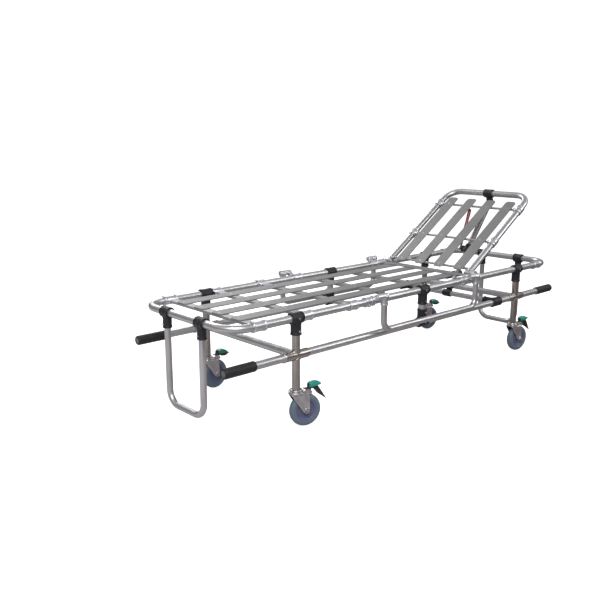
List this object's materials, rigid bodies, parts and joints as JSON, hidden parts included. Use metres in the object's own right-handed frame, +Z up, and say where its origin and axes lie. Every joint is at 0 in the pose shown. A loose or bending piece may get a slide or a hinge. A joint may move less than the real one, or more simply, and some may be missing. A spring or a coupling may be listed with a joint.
{
  "type": "ambulance cot",
  "caption": "Low tubular ambulance cot on swivel casters with a slatted deck, strut-held tilting backrest, carrying poles, side guards and swing-up end stands.",
  "frame": {"origin": "on the floor under the middle of the cot", "axes": "+X along the cot to the head end, +Z up, the patient's left side at -Y"},
  "size_m": [2.12, 0.671, 0.7815],
  "materials": {
    "aluminium_tube": "satin anodised tube",
    "cast_aluminium": "bright polished casting",
    "slat_aluminium": "matte mill-finish strip",
    "rivet_steel": "plated steel",
    "stainless_post": "polished stainless steel",
    "black_nylon": "moulded black nylon",
    "grip_rubber": "ribbed black rubber",
    "strut_steel": "ground steel",
    "red_grip": "dipped red vinyl",
    "caster_steel": "pressed stainless steel",
    "hub_plastic": "moulded grey-violet plastic",
    "tyre_rubber": "blue-grey rubber",
    "teal_plastic": "moulded teal plastic"
  },
  "bodies": {
    "frame": {"rail_left": "aluminium_tube", "rail_right": "aluminium_tube", "foot_bow": "aluminium_tube", "head_bow": "aluminium_tube", "rail_couplers": "cast_aluminium", "cross_tees": "cast_aluminium", "cross_bars": "slat_aluminium", "bed_slats": "slat_aluminium", "slat_rivets": "rivet_steel", "leg_posts": "stainless_post", "leg_clamps": "black_nylon", "clamp_screws": "rivet_steel", "mid_posts": "aluminium_tube", "mid_clamps": "black_nylon", "pole_left": "aluminium_tube", "pole_right": "aluminium_tube", "pole_grips": "grip_rubber", "lower_cross_tubes": "aluminium_tube", "cross_tube_clamps": "black_nylon", "strut_foot_collar": "black_nylon", "guard_brackets": "cast_aluminium", "hinge_brackets": "cast_aluminium", "pivot_pins": "rivet_steel", "caster_stems": "caster_steel"},
    "guard_left": {"guard_left": "aluminium_tube", "guard_elbows_left": "cast_aluminium"},
    "guard_right": {"guard_right": "aluminium_tube", "guard_elbows_right": "cast_aluminium"},
    "backrest": {"backrest_frame": "aluminium_tube", "backrest_tees": "cast_aluminium", "backrest_rods": "aluminium_tube", "backrest_slats": "slat_aluminium", "backrest_rivets": "rivet_steel"},
    "strut_upper": {"strut_top_clamp": "black_nylon", "strut_outer_tube": "aluminium_tube", "release_head": "black_nylon"},
    "strut_lower": {"strut_inner_rod": "strut_steel", "strut_foot": "black_nylon"},
    "release_lever": {"release_lever": "strut_steel", "lever_grip": "red_grip"},
    "foot_stand": {"foot_stand": "aluminium_tube", "foot_stand_clamps": "black_nylon"},
    "head_stand": {"head_stand": "aluminium_tube", "head_stand_clamps": "black_nylon"},
    "caster_foot_left": {"fork_foot_left": "caster_steel"},
    "wheel_foot_left": {"hub_foot_left": "hub_plastic", "tyre_foot_left": "tyre_rubber"},
    "pedal_foot_left": {"pedal_foot_left": "teal_plastic"},
    "caster_foot_right": {"fork_foot_right": "caster_steel"},
    "wheel_foot_right": {"hub_foot_right": "hub_plastic", "tyre_foot_right": "tyre_rubber"},
    "pedal_foot_right": {"pedal_foot_right": "teal_plastic"},
    "caster_head_left": {"fork_head_left": "caster_steel"},
    "wheel_head_left": {"hub_head_left": "hub_plastic", "tyre_head_left": "tyre_rubber"},
    "pedal_head_left": {"pedal_head_left": "teal_plastic"},
    "caster_head_right": {"fork_head_right": "caster_steel"},
    "wheel_head_right": {"hub_head_right": "hub_plastic", "tyre_head_right": "tyre_rubber"},
    "pedal_head_right": {"pedal_head_right": "teal_plastic"}
  },
  "joints": [
    {"name": "backrest_tilt", "type": "hinge", "parent": "frame", "child": "backrest", "pos_m": [0.385, 0, 0.433], "axis": [0, -1, 0], "range_deg": [-33.4, 11.6]},
    {"name": "strut_swing", "type": "hinge", "parent": "backrest", "child": "strut_upper", "pos_m": [0.88173, 0, 0.76054], "axis": [0, -1, 0], "range_deg": [-2.3, 0.9]},
    {"name": "strut_slide", "type": "slide", "parent": "strut_upper", "child": "strut_lower", "axis": [-0.6079, 0, -0.794], "range_m": [-0.134, 0.047]},
    {"name": "release_pull", "type": "hinge", "parent": "strut_upper", "child": "release_lever", "pos_m": [0.71762, 0, 0.48389], "axis": [0, 1, 0], "range_deg": [0, 12], "stiffness_Nm_per_rad": 2, "springref_deg": -17.19},
    {"name": "guard_left_swing", "type": "hinge", "parent": "frame", "child": "guard_left", "pos_m": [0.0185, -0.32, 0.44], "axis": [-1, 0, 0], "range_deg": [0, 180]},
    {"name": "guard_right_swing", "type": "hinge", "parent": "frame", "child": "guard_right", "pos_m": [0.0425, 0.32, 0.44], "axis": [1, 0, 0], "range_deg": [0, 180]},
    {"name": "foot_stand_swing", "type": "hinge", "parent": "frame", "child": "foot_stand", "pos_m": [-1.024, 0, 0.418], "axis": [0, 1, 0], "range_deg": [0, 180]},
    {"name": "head_stand_swing", "type": "hinge", "parent": "frame", "child": "head_stand", "pos_m": [1.024, 0, 0.418], "axis": [0, -1, 0], "range_deg": [0, 180]},
    {"name": "swivel_foot_left", "type": "hinge", "parent": "frame", "child": "caster_foot_left", "pos_m": [-0.729, -0.28, 0.14], "axis": [0, 0, 1], "continuous": true},
    {"name": "roll_foot_left", "type": "hinge", "parent": "caster_foot_left", "child": "wheel_foot_left", "pos_m": [-0.69452, -0.29035, 0.0625], "axis": [0.2874, 0.9578, 0], "continuous": true},
    {"name": "brake_foot_left", "type": "hinge", "parent": "caster_foot_left", "child": "pedal_foot_left", "pos_m": [-0.68111, -0.29437, 0.138], "axis": [0.2874, 0.9578, 0], "range_deg": [0, 12]},
    {"name": "swivel_foot_right", "type": "hinge", "parent": "frame", "child": "caster_foot_right", "pos_m": [-0.729, 0.28, 0.14], "axis": [0, 0, 1], "continuous": true},
    {"name": "roll_foot_right", "type": "hinge", "parent": "caster_foot_right", "child": "wheel_foot_right", "pos_m": [-0.69307, 0.28226, 0.0625], "axis": [-0.0628, 0.998, 0], "continuous": true},
    {"name": "brake_foot_right", "type": "hinge", "parent": "caster_foot_right", "child": "pedal_foot_right", "pos_m": [-0.6791, 0.28314, 0.138], "axis": [-0.0628, 0.998, 0], "range_deg": [-12, 0]},
    {"name": "swivel_head_left", "type": "hinge", "parent": "frame", "child": "caster_head_left", "pos_m": [0.729, -0.28, 0.14], "axis": [0, 0, 1], "continuous": true},
    {"name": "roll_head_left", "type": "hinge", "parent": "caster_head_left", "child": "wheel_head_left", "pos_m": [0.76462, -0.2852, 0.0625], "axis": [0.1444, 0.9895, 0], "continuous": true},
    {"name": "brake_head_left", "type": "hinge", "parent": "caster_head_left", "child": "pedal_head_left", "pos_m": [0.77848, -0.28722, 0.138], "axis": [0.1444, 0.9895, 0], "range_deg": [0, 12]},
    {"name": "swivel_head_right", "type": "hinge", "parent": "frame", "child": "caster_head_right", "pos_m": [0.729, 0.28, 0.14], "axis": [0, 0, 1], "continuous": true},
    {"name": "roll_head_right", "type": "hinge", "parent": "caster_head_right", "child": "wheel_head_right", "pos_m": [0.76446, 0.27381, 0.0625], "axis": [0.1719, 0.9851, 0], "continuous": true},
    {"name": "brake_head_right", "type": "hinge", "parent": "caster_head_right", "child": "pedal_head_right", "pos_m": [0.77826, 0.2714, 0.138], "axis": [0.1719, 0.9851, 0], "range_deg": [-12, 0]}
  ],
  "couplings": [
    {"joint": "strut_swing", "follows": "backrest_tilt", "ratio": 0.062},
    {"joint": "strut_slide", "follows": "backrest_tilt", "m_per_rad": 0.2286}
  ]
}
